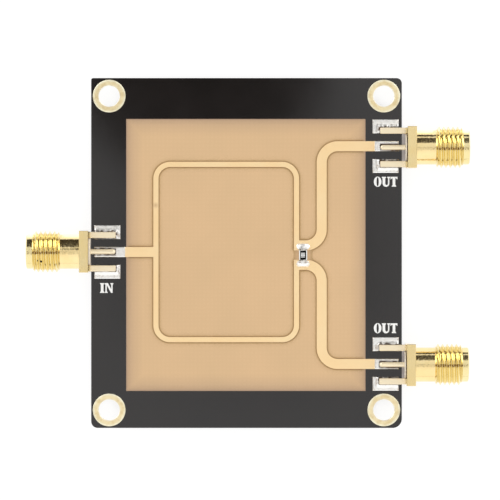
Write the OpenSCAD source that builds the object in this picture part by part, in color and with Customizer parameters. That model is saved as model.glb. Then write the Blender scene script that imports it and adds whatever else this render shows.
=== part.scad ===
// Two-way microstrip power divider with three edge-launch coaxial jacks.
// Origin: centre of the mounting holes on the board's underside.
// +X points to the output edge, +Y to the first output, +Z out of the etched face.

/* [Board] */
// Width of the board, from the input edge to the output edge
board_w = 47.5; // [46:0.5:70]
// Length of the board along its output edge
board_l = 53.5; // [52:0.5:80]
// Thickness of the bare laminate
laminate_t = 0.8; // [0.4:0.1:1.6]
// Corner radii: upper left, upper right, lower right, lower left
corner_r = [0.3, 0.8, 1.4, 1.0]; // [0.1:0.1:2.5]
// Thickness of the copper on either face
copper_t = 0.05; // [0.03:0.01:0.1]
// Thickness of the solder mask on either face
mask_t = 0.03; // [0.01:0.01:0.05]

/* [Mounting holes] */
// Finished diameter of the four mounting holes
hole_d = 3.2; // [2:0.1:4]
// Distance from a hole's centre to both of its board edges
hole_inset = 2.75; // [2.6:0.05:4]
// Diameter of the plated ring around a hole
ring_d = 5; // [4.4:0.1:5.2]
// Thickness of the plating on a hole's wall
plating_t = 0.05; // [0.02:0.01:0.1]

/* [Mask frame] */
// Width of the mask frame on the input side
frame_left = 5.35; // [4.5:0.05:7]
// Width of the mask frame on the output side
frame_right = 5.55; // [4.5:0.05:7]
// Width of the mask frame on the first output's side
frame_top = 6.25; // [5:0.05:8]
// Width of the mask frame on the second output's side
frame_bottom = 5.65; // [5:0.05:8]

/* [Microstrip] */
// Width of the input and output lines
line_w = 1.53; // [0.8:0.01:2]
// Width of the two thin arms
arm_w = 0.79; // [0.4:0.01:1.2]
// Length of the arms' loop along X, between centre lines
loop_w = 21.5; // [16:0.1:24]
// Length of the arms' loop along Y, between centre lines
loop_l = 26.8; // [20:0.1:30]
// Centre-line radius of the loop's corners
loop_r = 2.2; // [1:0.1:4]
// Place of the loop's centre along X
loop_x = -3.1; // [-4:0.1:-2]
// Place of the input line and of the loop's centre along Y
input_y = 0.15; // [-1:0.05:1]
// Gap between the two output stubs, which the resistor bridges
stub_gap = 1.43; // [1:0.01:1.6]
// Distance from the loop's right side to the output lines' long runs
run_step = 3.85; // [3.4:0.05:6]
// Centre-line radius of the output lines' bends
bend_r = 2.45; // [1.2:0.05:3]
// Distance from each end of the board to the output line nearest to it
output_margin = 10.1; // [9.5:0.1:15]
// Shift of both outputs, and of the resistor, along Y
output_y = -0.32; // [-1:0.02:1]

/* [Connector pads] */
// Length of a ground pad along X
pad_l = 3.95; // [3:0.05:4.4]
// Width of a ground pad along Y
pad_w = 2.1; // [1.6:0.05:2.6]
// Distance between the two ground pads of one connector
pad_pitch = 6.04; // [5.4:0.02:7]
// Bare strip between the pads and the board's edge
pad_inset = 0.5; // [0.2:0.05:0.8]
// Least gap between a ground pad and a mounting hole's ring
copper_gap = 0.2; // [0.1:0.05:0.4]
// Length of the tinned end of the input line
input_tin_l = 4.7; // [4:0.05:4.8]
// Length of the tinned end of each output line
output_tin_l = 3.65; // [3.4:0.05:4.8]

/* [Jack body] */
// Width and height of the square flange
flange_w = 6.35; // [6.3:0.05:7.5]
// Thickness of the flange
flange_t = 1.4; // [1:0.05:2.5]
// Radius of the flange's four corners
flange_r = 0.3; // [0.1:0.05:0.8]
// Diameter of the plain neck in front of the flange
neck_d = 5.25; // [5:0.05:5.6]
// Length of the neck
neck_l = 2.95; // [1:0.05:5]
// Outer diameter of the threaded stretch
thread_d = 6.3; // [5.8:0.05:6.35]
// Length of the threaded stretch with its two chamfers
thread_l = 4.2; // [2.5:0.05:8]
// Length of the chamfer at either end of the thread
thread_lead = 0.3; // [0.1:0.05:0.8]
// Diameter of the plain nose in front of the thread
nose_d = 5.25; // [5:0.05:5.6]
// Length of the nose
nose_l = 0.97; // [0.4:0.01:2]
// Chamfer on the nose's front edge
nose_chamfer = 0.15; // [0.05:0.05:0.2]
// Diameter of the pilot bore in the mating face
pilot_d = 4.6; // [4.3:0.05:4.7]
// Depth of the pilot bore
pilot_depth = 1.9; // [1:0.05:3]

/* [Jack legs] */
// Width of a leg along the board's edge
leg_w = 0.92; // [0.6:0.02:1.2]
// Height of a leg
leg_h = 1; // [0.6:0.05:1.2]
// Length of a leg behind the flange
leg_l = 4.1; // [3:0.05:4.3]
// Distance between the two legs on one face of the board
leg_pitch = 5.12; // [4.9:0.02:5.3]
// Chamfer on the free end of a leg
leg_chamfer = 0.12; // [0.05:0.01:0.2]

/* [Insulator and contact] */
// Diameter of the insulating bead and of its bore in the jack
insulator_d = 4.1; // [3.6:0.05:4.2]
// Length of the bead's rim behind the flange
insulator_stand = 0.25; // [0.1:0.05:0.5]
// Diameter of the contact inside the bead
contact_d = 1.27; // [1.2:0.01:1.4]
// Diameter of the retaining collar on the contact
collar_d = 1.75; // [1.5:0.05:2.5]
// Length of the retaining collar
collar_l = 0.6; // [0.3:0.05:1]
// Distance from the flange's back to the retaining collar
collar_x = 2; // [1:0.1:3]
// Diameter of the contact's socket
socket_d = 0.94; // [0.9:0.01:1]
// Depth of the contact's socket
socket_depth = 2.6; // [1.5:0.1:3.5]
// Width of the slots between the contact's four fingers
finger_slot_w = 0.12; // [0.08:0.01:0.15]
// Length of the slots between the contact's four fingers
finger_slot_l = 1.8; // [1:0.1:2.4]
// Diameter of the contact's rear pin
pin_d = 0.78; // [0.6:0.01:1]
// Length of the rear pin behind the flange
pin_l = 4.05; // [3:0.05:4.3]

/* [Jack placing] */
// Gap between the board's edge and the input jack's bead
input_air = 0.08; // [0.02:0.01:0.6]
// Gap between the board's edge and the first output jack's bead
output_1_air = 0.53; // [0.02:0.01:0.6]
// Gap between the board's edge and the second output jack's bead
output_2_air = 0.37; // [0.02:0.01:0.6]
// Sideways slip of the input jack from its line
input_slip = 0.05; // [-0.25:0.01:0.25]
// Sideways slip of the first output jack from its line
output_1_slip = -0.2; // [-0.25:0.01:0.25]
// Sideways slip of the second output jack from its line
output_2_slip = -0.08; // [-0.25:0.01:0.25]

/* [Resistor] */
// Length of the chip resistor along Y
chip_l = 2; // [1.8:0.05:2.2]
// Width of the chip resistor
chip_w = 1.25; // [1:0.05:1.5]
// Height of the chip resistor
chip_h = 0.5; // [0.4:0.05:0.7]
// Length of an end cap on the chip's upper and lower faces
cap_l = 0.3; // [0.25:0.01:0.4]
// Wall thickness of an end cap
cap_t = 0.04; // [0.02:0.01:0.08]
// Width of the dark coat on the chip
coat_w = 0.93; // [0.6:0.01:1]
// Thickness of the dark coat
coat_t = 0.05; // [0.02:0.01:0.1]
// Distance from the loop's right side to the resistor's centre
chip_step = 1; // [0.8:0.05:1.4]

/* [Solder] */
// Thickness of the solder film on every tinned pad
film_t = 0.05; // [0.02:0.01:0.1]
// Size of the hollow fillets along the legs
leg_fillet = 0.5; // [0.2:0.05:0.7]
// Height of the solder beside a pin
pin_fillet = 0.4; // [0.2:0.05:0.5]
// Width of the solder's crest around a pin, past the pin itself
pin_crest = 0.2; // [0.1:0.05:0.4]
// Length of the slope in front of a pin's tip
pin_toe = 0.5; // [0.2:0.05:0.6]
// Size of the hollow fillets around the resistor's ends
chip_fillet = 0.4; // [0.2:0.05:0.45]
// Width of the solder under one end of the resistor
chip_solder_w = 2.05; // [1.9:0.05:2.6]
// Length of the solder under one end of the resistor
chip_solder_l = 1.1; // [0.8:0.05:1.4]
// Thickness of a fillet's thin edge
feather_t = 0.04; // [0.02:0.01:0.08]

/* [Hidden] */
$fn = 96;
past = 1;

// Levels of the board's layers
laminate_z = copper_t;
etch_z = copper_t + laminate_t;
pad_z = etch_z + copper_t;
seat_z = pad_z + film_t;

// Mounting holes
hole_x = board_w / 2 - hole_inset;
hole_y = board_l / 2 - hole_inset;

// Lines and arms
output_pitch = board_l - 2 * output_margin;
loop_left = loop_x - loop_w / 2;
loop_right = loop_x + loop_w / 2;
run_x = loop_right + run_step;
chip_x = loop_right + chip_step;
stub_y = (stub_gap + line_w) / 2;
line_end = board_w / 2 - pad_inset;

// Each port: side of the board, line's place along Y, gap to the bead, slip, tinned length
PORTS = [
  [-1, input_y, input_air, input_slip, input_tin_l],
  [1, output_y + output_pitch / 2, output_1_air, output_1_slip, output_tin_l],
  [1, output_y - output_pitch / 2, output_2_air, output_2_slip, output_tin_l]
];
input = 0;
output_1 = 1;
output_2 = 2;

// Jack, along its own axis from the flange's back
pin_r = pin_d / 2;
axis_z = seat_z + pin_r;
slot_w = pad_z + 2 * film_t;
thread_start = flange_t + neck_l;
thread_end = thread_start + thread_l;
tip_x = thread_end + nose_l;
bead_x = tip_x - pilot_depth;

function side(port) = PORTS[port][0];
function line_y(port) = PORTS[port][1];
function flange_gap(port) = PORTS[port][2] + insulator_stand;
function slip(port) = PORTS[port][3];
function tin_l(port) = PORTS[port][4];
function unit(v) = v / norm(v);

// Frame of a port's pads: at the board's edge on the line's centre, +X outwards
module at_line(port) {
  translate([side(port) * board_w / 2, line_y(port), 0])
    rotate(side(port) > 0 ? 0 : 180)
      children();
}

// Frame of a port's jack: on its axis at the flange's back, +X outwards
module at_jack(port) {
  translate([side(port) * (board_w / 2 + flange_gap(port)), line_y(port) + slip(port), axis_z])
    rotate(side(port) > 0 ? 0 : 180)
      children();
}

// Shapes drawn for the board's upper face, and turned over for its underside
module on_both_faces(middle_z) {
  children();
  translate([0, 0, 2 * middle_z])
    mirror([0, 0, 1])
      children();
}

module on_both_sides() {
  children();
  mirror([0, 1, 0])
    children();
}

// Board outline with its own radius at each corner
module board_outline() {
  x = board_w / 2;
  y = board_l / 2;
  r = corner_r;
  polygon([
    [-x, -y + r[3]], [-x + r[3], -y], [x - r[2], -y], [x, -y + r[2]],
    [x, y - r[1]], [x - r[1], y], [-x + r[0], y], [-x, y - r[0]]
  ]);
  translate([-x + r[0], y - r[0]])
    circle(r[0]);
  translate([x - r[1], y - r[1]])
    circle(r[1]);
  translate([x - r[2], -y + r[2]])
    circle(r[2]);
  translate([-x + r[3], -y + r[3]])
    circle(r[3]);
}

module at_holes() {
  for (x = [-hole_x, hole_x])
    for (y = [-hole_y, hole_y])
      translate([x, y])
        children();
}

// A strip of constant width along points that turn at right angles
module strip(points, w, r) {
  last = len(points) - 1;
  for (i = [0 : last - 1]) {
    along = unit(points[i + 1] - points[i]);
    from = points[i] + (i > 0 ? r : 0) * along;
    to = points[i + 1] - (i < last - 1 ? r : 0) * along;
    translate(from)
      rotate(atan2(along.y, along.x))
        translate([0, -w / 2])
          square([norm(to - from), w]);
  }
  for (i = [1 : 1 : last - 1])
    bend(points[i], unit(points[i] - points[i - 1]), unit(points[i + 1] - points[i]), w, r);
}

// Quarter ring that joins two stretches of a strip around the corner at a point
module bend(corner, arrives, leaves, w, r) {
  outwards = arrives - leaves;
  translate(corner - r * outwards)
    intersection() {
      difference() {
        circle(r + w / 2);
        circle(r - w / 2);
      }
      rotate(atan2(outwards.y, outwards.x) - 45)
        square(r + w);
    }
}

// The input line, without its end at the loop
module input_line() {
  strip([[-line_end, input_y], [loop_left + arm_w / 2, input_y]], line_w, bend_r);
}

// One arm of the loop, from the input line to its stub; way is 1 for the upper arm
module arm(way) {
  far_y = input_y + way * loop_l / 2;
  strip(
    [[loop_left, input_y], [loop_left, far_y], [loop_right, far_y], [loop_right, output_y + way * stub_y]],
    arm_w, loop_r
  );
}

// One output line, from its stub beside the resistor to the board's edge
module output_line(way) {
  edge_y = output_y + way * output_pitch / 2;
  near_y = output_y + way * stub_y;
  strip(
    [[loop_right - arm_w / 2, near_y], [run_x, near_y], [run_x, edge_y], [line_end, edge_y]],
    line_w, bend_r
  );
}

// The two ground pads of a port, which keep clear of the mounting holes' rings
module ground_pads_2d(port) {
  difference() {
    at_line(port)
      on_both_sides()
        translate([-pad_inset - pad_l, pad_pitch / 2 - pad_w / 2])
          square([pad_l, pad_w]);
    at_holes()
      circle(d = ring_d + 2 * copper_gap);
  }
}

module layer(z, t) {
  translate([0, 0, z])
    linear_extrude(t)
      children();
}

// A layer with the board's outline, cut through where its children are drawn
module board_layer(z, t) {
  difference() {
    layer(z, t)
      board_outline();
    layer(z - past, t + 2 * past)
      children();
  }
}

// Bare board
module laminate() {
  color([0.86, 0.72, 0.55])
    board_layer(laminate_z, laminate_t)
      at_holes()
        circle(d = hole_d + 2 * plating_t);
}

// Copper sheet on the underside, around the rings of the mounting holes
module ground_plane() {
  color([0.85, 0.6, 0.35])
    board_layer(0, copper_t)
      at_holes()
        circle(d = ring_d);
}

// Solder mask of the underside, open at the rings and at the lower legs
module bottom_mask() {
  color([0.12, 0.12, 0.12])
    board_layer(-mask_t, mask_t) {
      at_holes()
        circle(d = ring_d);
      for (port = [input, output_1, output_2])
        ground_pads_2d(port);
    }
}

// Solder mask frame of the etched face, open over the window, the lines, the pads and the rings
module top_mask() {
  window_w = board_w - frame_left - frame_right;
  window_l = board_l - frame_top - frame_bottom;
  color([0.16, 0.16, 0.16])
    board_layer(etch_z, mask_t) {
      translate([-board_w / 2 + frame_left, -board_l / 2 + frame_bottom])
        square([window_w, window_l]);
      at_holes()
        circle(d = ring_d);
      for (port = [input, output_1, output_2]) {
        ground_pads_2d(port);
        at_line(port)
          translate([-pad_inset - frame_left - frame_right, -line_w / 2])
            square([frame_left + frame_right, line_w]);
      }
    }
}

// Input line, both arms and both output lines, etched as one piece
module microstrip() {
  color([0.96, 0.84, 0.62])
    layer(etch_z, copper_t) {
      input_line();
      for (way = [1, -1]) {
        arm(way);
        output_line(way);
      }
    }
}

// Plated mounting hole: a barrel through the board with a ring on both faces
module eyelet(x_sign, y_sign) {
  color([0.93, 0.84, 0.65])
    translate([x_sign * hole_x, y_sign * hole_y])
      difference() {
        union() {
          cylinder(d = hole_d + 2 * plating_t, h = pad_z);
          for (z = [0, etch_z])
            translate([0, 0, z])
              cylinder(d = ring_d, h = copper_t);
        }
        translate([0, 0, -past])
          cylinder(d = hole_d, h = pad_z + 2 * past);
      }
}

module ground_pads(port) {
  color([0.93, 0.9, 0.85])
    layer(etch_z, copper_t)
      ground_pads_2d(port);
}

// Frame of the chip resistor: under its centre, on the solder film
module at_chip() {
  translate([chip_x, output_y, seat_z])
    children();
}

// Ceramic block of the resistor, between the linings of its end caps
module resistor_ceramic() {
  color([0.95, 0.94, 0.91])
    at_chip()
      translate([-chip_w / 2, -chip_l / 2 + cap_t, cap_t])
        cube([chip_w, chip_l - 2 * cap_t, chip_h - 2 * cap_t]);
}

// Dark coat over the resistor's film, between the caps
module resistor_coat() {
  coat_l = chip_l - 2 * cap_l;
  color([0.08, 0.08, 0.08])
    at_chip()
      translate([-coat_w / 2, -coat_l / 2, chip_h - cap_t])
        cube([coat_w, coat_l, coat_t]);
}

// End cap of the resistor, folded around the ceramic's end; way is 1 for the upper cap
module resistor_cap(way) {
  color([0.85, 0.85, 0.84])
    at_chip()
      mirror([0, way > 0 ? 0 : 1, 0])
        translate([-chip_w / 2, 0, 0])
          rotate([90, 0, 90])
            linear_extrude(chip_w)
              difference() {
                translate([chip_l / 2 - cap_l, 0])
                  square([cap_l, chip_h]);
                translate([0, cap_t])
                  square([chip_l / 2 - cap_t, chip_h - 2 * cap_t]);
              }
}

// Section of a hollow solder fillet: both thin edges have the same thickness
module fillet_section(size) {
  difference() {
    square(size);
    translate([size, size])
      circle(size - feather_t);
  }
}

// Fillet around one corner of a block: x_run along its side, then round to y_run across its end
module corner_fillet(size, x_run, y_run) {
  rotate([90, 0, 90])
    linear_extrude(x_run)
      fillet_section(size);
  rotate(90)
    rotate_extrude(angle = 90)
      fillet_section(size);
  translate([0, -y_run, 0])
    rotate([90, 0, 180])
      linear_extrude(y_run)
        fillet_section(size);
}

// The resistor's two joints: a film on the stub, with a fillet around the cap's three free sides
module resistor_solder() {
  film_y = stub_gap / 2;
  color([0.84, 0.84, 0.83])
    at_chip()
      on_both_sides() {
        translate([-chip_solder_w / 2, film_y, -film_t])
          cube([chip_solder_w, chip_solder_l, film_t]);
        for (flip = [0, 1])
          mirror([flip, 0, 0])
            translate([chip_w / 2, chip_l / 2, 0])
              rotate(-90)
                corner_fillet(chip_fillet, cap_l / 2, chip_w / 2);
      }
}

// Turned profile of the barrel: neck, chamfered thread stretch and nose
module barrel_profile() {
  polygon([
    [0, 0],
    [neck_d / 2, 0],
    [neck_d / 2, thread_start],
    [thread_d / 2, thread_start + thread_lead],
    [thread_d / 2, thread_end - thread_lead],
    [nose_d / 2, thread_end],
    [nose_d / 2, tip_x - nose_chamfer],
    [nose_d / 2 - nose_chamfer, tip_x],
    [0, tip_x]
  ]);
}

module along_axis() {
  rotate([0, 90, 0])
    children();
}

// Square flange plate with round corners
module flange() {
  inner = flange_w - 2 * flange_r;
  along_axis()
    linear_extrude(flange_t) {
      square([flange_w, inner], center = true);
      square([inner, flange_w], center = true);
      for (x = [-inner / 2, inner / 2])
        for (y = [-inner / 2, inner / 2])
          translate([x, y])
            circle(flange_r);
    }
}

// One leg, drawn from the side: its free end is chamfered above and below
module leg() {
  translate([0, leg_pitch / 2 + leg_w / 2, -pin_r])
    rotate([90, 0, 0])
      linear_extrude(leg_w)
        polygon([
          [past / 2, 0],
          [past / 2, leg_h],
          [-leg_l + leg_chamfer, leg_h],
          [-leg_l, leg_h - leg_chamfer],
          [-leg_l, leg_chamfer],
          [-leg_l + leg_chamfer, 0]
        ]);
}

// Jack body: flange, barrel and four legs in one piece, with a stepped bore
module jack(port) {
  color([0.93, 0.79, 0.48])
    at_jack(port)
      difference() {
        union() {
          flange();
          along_axis()
            rotate_extrude()
              barrel_profile();
          on_both_faces(-pin_r - slot_w / 2)
            on_both_sides()
              leg();
        }
        along_axis()
          translate([0, 0, -past])
            cylinder(d = insulator_d, h = tip_x + 2 * past);
        along_axis()
          translate([0, 0, bead_x])
            cylinder(d = pilot_d, h = pilot_depth + past);
      }
}

// Turned outline of the contact: body, retaining collar and pin with a round tip
module contact_outline() {
  along_axis()
    rotate_extrude() {
      translate([0, -insulator_stand])
        square([contact_d / 2, bead_x + insulator_stand]);
      translate([0, collar_x])
        square([collar_d / 2, collar_l]);
      translate([0, pin_r - pin_l])
        square([pin_r, pin_l - pin_r - insulator_stand]);
      translate([0, pin_r - pin_l])
        intersection() {
          circle(pin_r);
          translate([0, -pin_r])
            square(pin_r);
        }
    }
}

// Insulating bead around the contact, flush with the floor of the pilot bore
module insulator(port) {
  color([0.97, 0.97, 0.96])
    at_jack(port)
      difference() {
        along_axis()
          translate([0, 0, -insulator_stand])
            cylinder(d = insulator_d, h = bead_x + insulator_stand);
        contact_outline();
      }
}

// Centre contact: a slotted socket in front and a round pin behind
module contact(port) {
  color([0.93, 0.79, 0.48])
    at_jack(port)
      difference() {
        contact_outline();
        along_axis()
          translate([0, 0, bead_x - socket_depth])
            cylinder(d = socket_d, h = socket_depth + past);
        for (turn = [0, 90])
          rotate([turn, 0, 0])
            translate([bead_x - finger_slot_l, -contact_d, -finger_slot_w / 2])
              cube([finger_slot_l + past, 2 * contact_d, finger_slot_w]);
      }
}

// The four joints of a jack's legs: a film over each pad, and a fillet outside and in front of each leg
module leg_solder(port) {
  fillet_run = leg_l - flange_gap(port) - pad_inset;
  color([0.88, 0.87, 0.85])
    on_both_faces(pad_z / 2) {
      layer(pad_z, film_t)
        ground_pads_2d(port);
      at_jack(port)
        on_both_sides()
          translate([-leg_l, leg_pitch / 2 + leg_w / 2, -pin_r])
            corner_fillet(leg_fillet, fillet_run, leg_w);
    }
}

// Solder mound around a pin: its cross section, cut by its slope seen from the side
module pin_mound(length) {
  crest = pin_d + pin_crest;
  intersection() {
    rotate([90, 0, -90])
      linear_extrude(length)
        polygon([[-line_w / 2, 0], [line_w / 2, 0], [crest / 2, pin_fillet], [-crest / 2, pin_fillet]]);
    rotate([90, 0, 0])
      translate([0, 0, -line_w])
        linear_extrude(2 * line_w)
          polygon([[0, 0], [0, pin_fillet], [pin_toe - length, pin_fillet], [-length, 0]]);
  }
}

// The joint of a jack's pin: a film over the line's end and a mound around the pin
module pin_solder(port) {
  mound_l = pin_l - flange_gap(port) - pad_inset + pin_toe;
  color([0.9, 0.89, 0.87])
    difference() {
      union() {
        at_line(port)
          translate([-pad_inset - tin_l(port), -line_w / 2, pad_z])
            cube([tin_l(port), line_w, film_t]);
        at_line(port)
          translate([-pad_inset, 0, seat_z])
            pin_mound(mound_l);
      }
      at_jack(port)
        contact_outline();
    }
}

laminate();
ground_plane();
bottom_mask();
top_mask();
microstrip();
eyelet(-1, 1);  // eyelet_upper_left
eyelet(1, 1);  // eyelet_upper_right
eyelet(-1, -1);  // eyelet_lower_left
eyelet(1, -1);  // eyelet_lower_right
ground_pads(input);  // input_ground_pads
ground_pads(output_1);  // output_1_ground_pads
ground_pads(output_2);  // output_2_ground_pads
resistor_ceramic();
resistor_coat();
resistor_cap(1);  // resistor_cap_upper
resistor_cap(-1);  // resistor_cap_lower
resistor_solder();
jack(input);  // input_jack
jack(output_1);  // output_1_jack
jack(output_2);  // output_2_jack
insulator(input);  // input_insulator
insulator(output_1);  // output_1_insulator
insulator(output_2);  // output_2_insulator
contact(input);  // input_contact
contact(output_1);  // output_1_contact
contact(output_2);  // output_2_contact
leg_solder(input);  // input_leg_solder
leg_solder(output_1);  // output_1_leg_solder
leg_solder(output_2);  // output_2_leg_solder
pin_solder(input);  // input_pin_solder
pin_solder(output_1);  // output_1_pin_solder
pin_solder(output_2);  // output_2_pin_solder
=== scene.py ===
import math
import bpy
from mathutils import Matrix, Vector, noise


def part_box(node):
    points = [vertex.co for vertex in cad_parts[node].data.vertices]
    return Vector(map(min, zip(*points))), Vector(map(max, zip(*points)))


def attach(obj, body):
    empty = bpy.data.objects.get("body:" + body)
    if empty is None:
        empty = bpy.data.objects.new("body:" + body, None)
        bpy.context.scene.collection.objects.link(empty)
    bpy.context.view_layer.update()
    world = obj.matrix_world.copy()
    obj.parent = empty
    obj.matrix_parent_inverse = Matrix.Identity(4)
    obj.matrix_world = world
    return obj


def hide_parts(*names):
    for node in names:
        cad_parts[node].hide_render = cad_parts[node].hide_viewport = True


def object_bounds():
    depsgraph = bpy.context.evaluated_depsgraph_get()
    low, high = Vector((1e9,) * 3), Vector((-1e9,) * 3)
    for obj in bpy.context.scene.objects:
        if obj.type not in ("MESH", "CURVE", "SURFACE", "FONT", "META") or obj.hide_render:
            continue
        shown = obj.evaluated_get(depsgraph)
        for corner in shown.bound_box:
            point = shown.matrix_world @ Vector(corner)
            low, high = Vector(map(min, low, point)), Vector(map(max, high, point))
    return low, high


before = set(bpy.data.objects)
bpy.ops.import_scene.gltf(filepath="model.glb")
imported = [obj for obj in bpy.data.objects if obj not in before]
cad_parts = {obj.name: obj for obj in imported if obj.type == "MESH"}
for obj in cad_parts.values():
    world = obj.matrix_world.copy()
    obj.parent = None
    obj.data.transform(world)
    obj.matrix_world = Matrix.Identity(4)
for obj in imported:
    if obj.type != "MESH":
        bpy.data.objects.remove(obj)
cad_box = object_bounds()

# Laminate
# The bare board: glass cloth in tan resin, routed to its outline and drilled for four bolts.
# Its weave shows faintly where the copper was etched away. Painted shade darkens it close to the copper's
# edges and along the mask's window, and only faintly right beside the chip.
mm = 0.001
weave_pitch = 0.62 * mm
weave_depth = 0.0025 * mm
weave_wobble = 1.2
band_rad = 20
weave_scale = math.tau / band_rad / weave_pitch
cloud_size = 9 * mm
window_middle = (-0.1 * mm, -0.3 * mm, 0)
window_half = (18.3 * mm, 20.8 * mm, 0)
window_shade = 2.6 * mm
window_rim = 0.5 * mm
shade_reach = 0.9 * mm
shade_rays = 32
chip_at = (8.65 * mm, -0.32 * mm, 0.85 * mm)
chip_near = 0.9 * mm
chip_far = 1.9 * mm
chip_share = 0.1
white = (1.0, 1.0, 1.0, 1.0)


def seen_as(red, green, blue):
    """A colour as it looks on a screen, 0 to 255, in the linear light that shaders work in."""
    return (*(((value / 255 + 0.055) / 1.055) ** 2.4 for value in (red, green, blue)), 1.0)


def plug(finish, node, sockets):
    """Sets a node's sockets, or links those that are given another node's output."""
    for name, value in sockets.items():
        if isinstance(value, bpy.types.NodeSocket):
            finish.node_tree.links.new(value, node.inputs[name])
        else:
            node.inputs[name].default_value = value


def new_finish(name, sockets):
    """A material with one shader, and the point on the piece that its patterns are drawn at."""
    finish = bpy.data.materials.new(name)
    finish.use_nodes = True
    plug(finish, finish.node_tree.nodes["Principled BSDF"], sockets)
    place = finish.node_tree.nodes.new("ShaderNodeTexCoord").outputs["Object"]
    return finish, place


def add(finish, kind, sockets, output, **settings):
    """Adds a node to a material and gives one of its outputs."""
    node = finish.node_tree.nodes.new("ShaderNode" + kind)
    for name, value in settings.items():
        setattr(node, name, value)
    plug(finish, node, sockets)
    return node.outputs[output]


def reckon(finish, operation, *numbers):
    """Arithmetic with numbers in a material."""
    return add(finish, "Math", dict(enumerate(numbers)), "Value", operation=operation)


def measure(finish, operation, *points):
    """Arithmetic with points in a material, which gives a point, or a number where it asks for a length."""
    output = "Value" if operation in ("LENGTH", "DISTANCE") else "Vector"
    return add(finish, "VectorMath", dict(enumerate(points)), output, operation=operation)


def fade(finish, value, start, end, first=0.0, last=1.0):
    """Runs from the first number to the last while a value goes from start to end."""
    sockets = {"Value": value, "From Min": start, "From Max": end, "To Min": first, "To Max": last}
    return add(finish, "MapRange", sockets, "Result")


def grain(finish, place, size, detail=3.0, stretch=(1, 1, 1)):
    """Cloudy noise whose blots are about this size, stretched along an axis where that is above 1."""
    laid = add(finish, "Mapping", {"Vector": place, "Scale": [1 / (size * s) for s in stretch]}, "Vector")
    return add(finish, "TexNoise", {"Vector": laid, "Scale": 1.0, "Detail": detail}, "Fac")


def ramp(finish, factor, *stops):
    """Turns a number into a colour that runs through the stops, each a position and a colour."""
    node = finish.node_tree.nodes.new("ShaderNodeValToRGB")
    finish.node_tree.links.new(factor, node.inputs["Fac"])
    elements = node.color_ramp.elements
    for element, (position, colour) in zip(elements, (stops[0], stops[-1])):
        element.position = position
        element.color = colour
    for position, colour in stops[1:-1]:
        elements.new(position).color = colour
    return node.outputs["Color"]


def blend(finish, factor, under, over, how="MIX"):
    """Lays one colour over another."""
    return add(finish, "MixRGB", {"Fac": factor, "Color1": under, "Color2": over}, "Color", blend_type=how)


def spread(finish, factor, low, high):
    """Spreads a number from 0 to 1 over a range."""
    return fade(finish, factor, 0, 1, low, high)


def dress(finish, sockets):
    """Sets or links the sockets of a material's shader."""
    plug(finish, finish.node_tree.nodes["Principled BSDF"], sockets)


def relief(finish, height, depth, strength=1.0):
    """Bump of this depth."""
    return add(finish, "Bump", {"Height": height, "Distance": depth, "Strength": strength}, "Normal")


def give(finish, *pieces):
    """Puts a material on pieces, in place of any they have."""
    for piece in pieces:
        piece.data.materials.clear()
        piece.data.materials.append(finish)


def solid(*names):
    """The objects of these pieces of the frame."""
    return [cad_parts[name] for name in names]


bare_laminate, place = new_finish("bare_laminate", {"Roughness": 0.5})
bands = {"Vector": place, "Scale": weave_scale, "Distortion": weave_wobble}
warp = add(bare_laminate, "TexWave", bands, "Fac")
weft = add(bare_laminate, "TexWave", bands, "Fac", bands_direction="Y")
cloth = reckon(bare_laminate, "MULTIPLY", warp, weft)
resin = ramp(bare_laminate, cloth, (0, seen_as(219, 182, 137)), (1, seen_as(221, 184, 139)))
cloud = grain(bare_laminate, place, cloud_size)
cloud = ramp(bare_laminate, cloud, (0.3, (0.95, 0.96, 0.96, 1)), (0.7, white))
# Painted shade: the laminate's colour is darkened where nearby copper and parts hem it in.
hemmed_in = add(bare_laminate, "AmbientOcclusion", {"Distance": shade_reach}, "AO", samples=shade_rays)
edge_shade = ramp(
    bare_laminate, hemmed_in, (0.75, (0.55, 0.48, 0.46, 1)), (0.968, (0.45, 0.38, 0.16, 1)), (0.99, white)
)
aside = measure(bare_laminate, "SUBTRACT", place, window_middle)
aside = measure(bare_laminate, "ABSOLUTE", aside)
aside = measure(bare_laminate, "SUBTRACT", window_half, aside)
sides = add(bare_laminate, "SeparateXYZ", {"Vector": aside}, "X").node.outputs
inside = reckon(bare_laminate, "MINIMUM", sides["X"], sides["Y"])
# Painted shade along the mask's window, darkest at its frame.
frame_shade = ramp(
    bare_laminate, fade(bare_laminate, inside, 0, window_shade), (0, (0.66, 0.66, 0.82, 1)),
    (0.12, (0.77, 0.77, 0.84, 1)), (0.42, (0.89, 0.89, 0.93, 1)), (1, white),
)
# The painted edge shade is kept off the window's frame and weakened beside the chip.
from_frame = fade(bare_laminate, inside, 0, window_rim)
from_chip = measure(bare_laminate, "DISTANCE", place, chip_at)
from_chip = fade(bare_laminate, from_chip, chip_near, chip_far, chip_share)
edges = reckon(bare_laminate, "MULTIPLY", from_frame, from_chip)
clouded = blend(bare_laminate, 1.0, resin, cloud, "MULTIPLY")
shaded = blend(bare_laminate, 1.0, clouded, frame_shade, "MULTIPLY")
dress(
    bare_laminate,
    {
        "Base Color": blend(bare_laminate, edges, shaded, edge_shade, "MULTIPLY"),
        "Normal": relief(bare_laminate, cloth, weave_depth),
    },
)
give(bare_laminate, *solid("laminate"))

# Ground plane
# The copper sheet on the underside, bonded to the laminate and covered by the mask.
# Only its sawn edge and the rims of its holes show, so it stays the colour of bare copper.
tarnish_size = 1.5 * mm
bare_copper, place = new_finish("bare_copper", {"Metallic": 1.0})
tarnish = grain(bare_copper, place, tarnish_size)
dress(
    bare_copper,
    {
        "Base Color": ramp(bare_copper, tarnish, (0.3, seen_as(176, 110, 72)), (0.7, seen_as(214, 148, 104))),
        "Roughness": spread(bare_copper, tarnish, 0.3, 0.5),
    },
)
give(bare_copper, *solid("ground_plane"))

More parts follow.
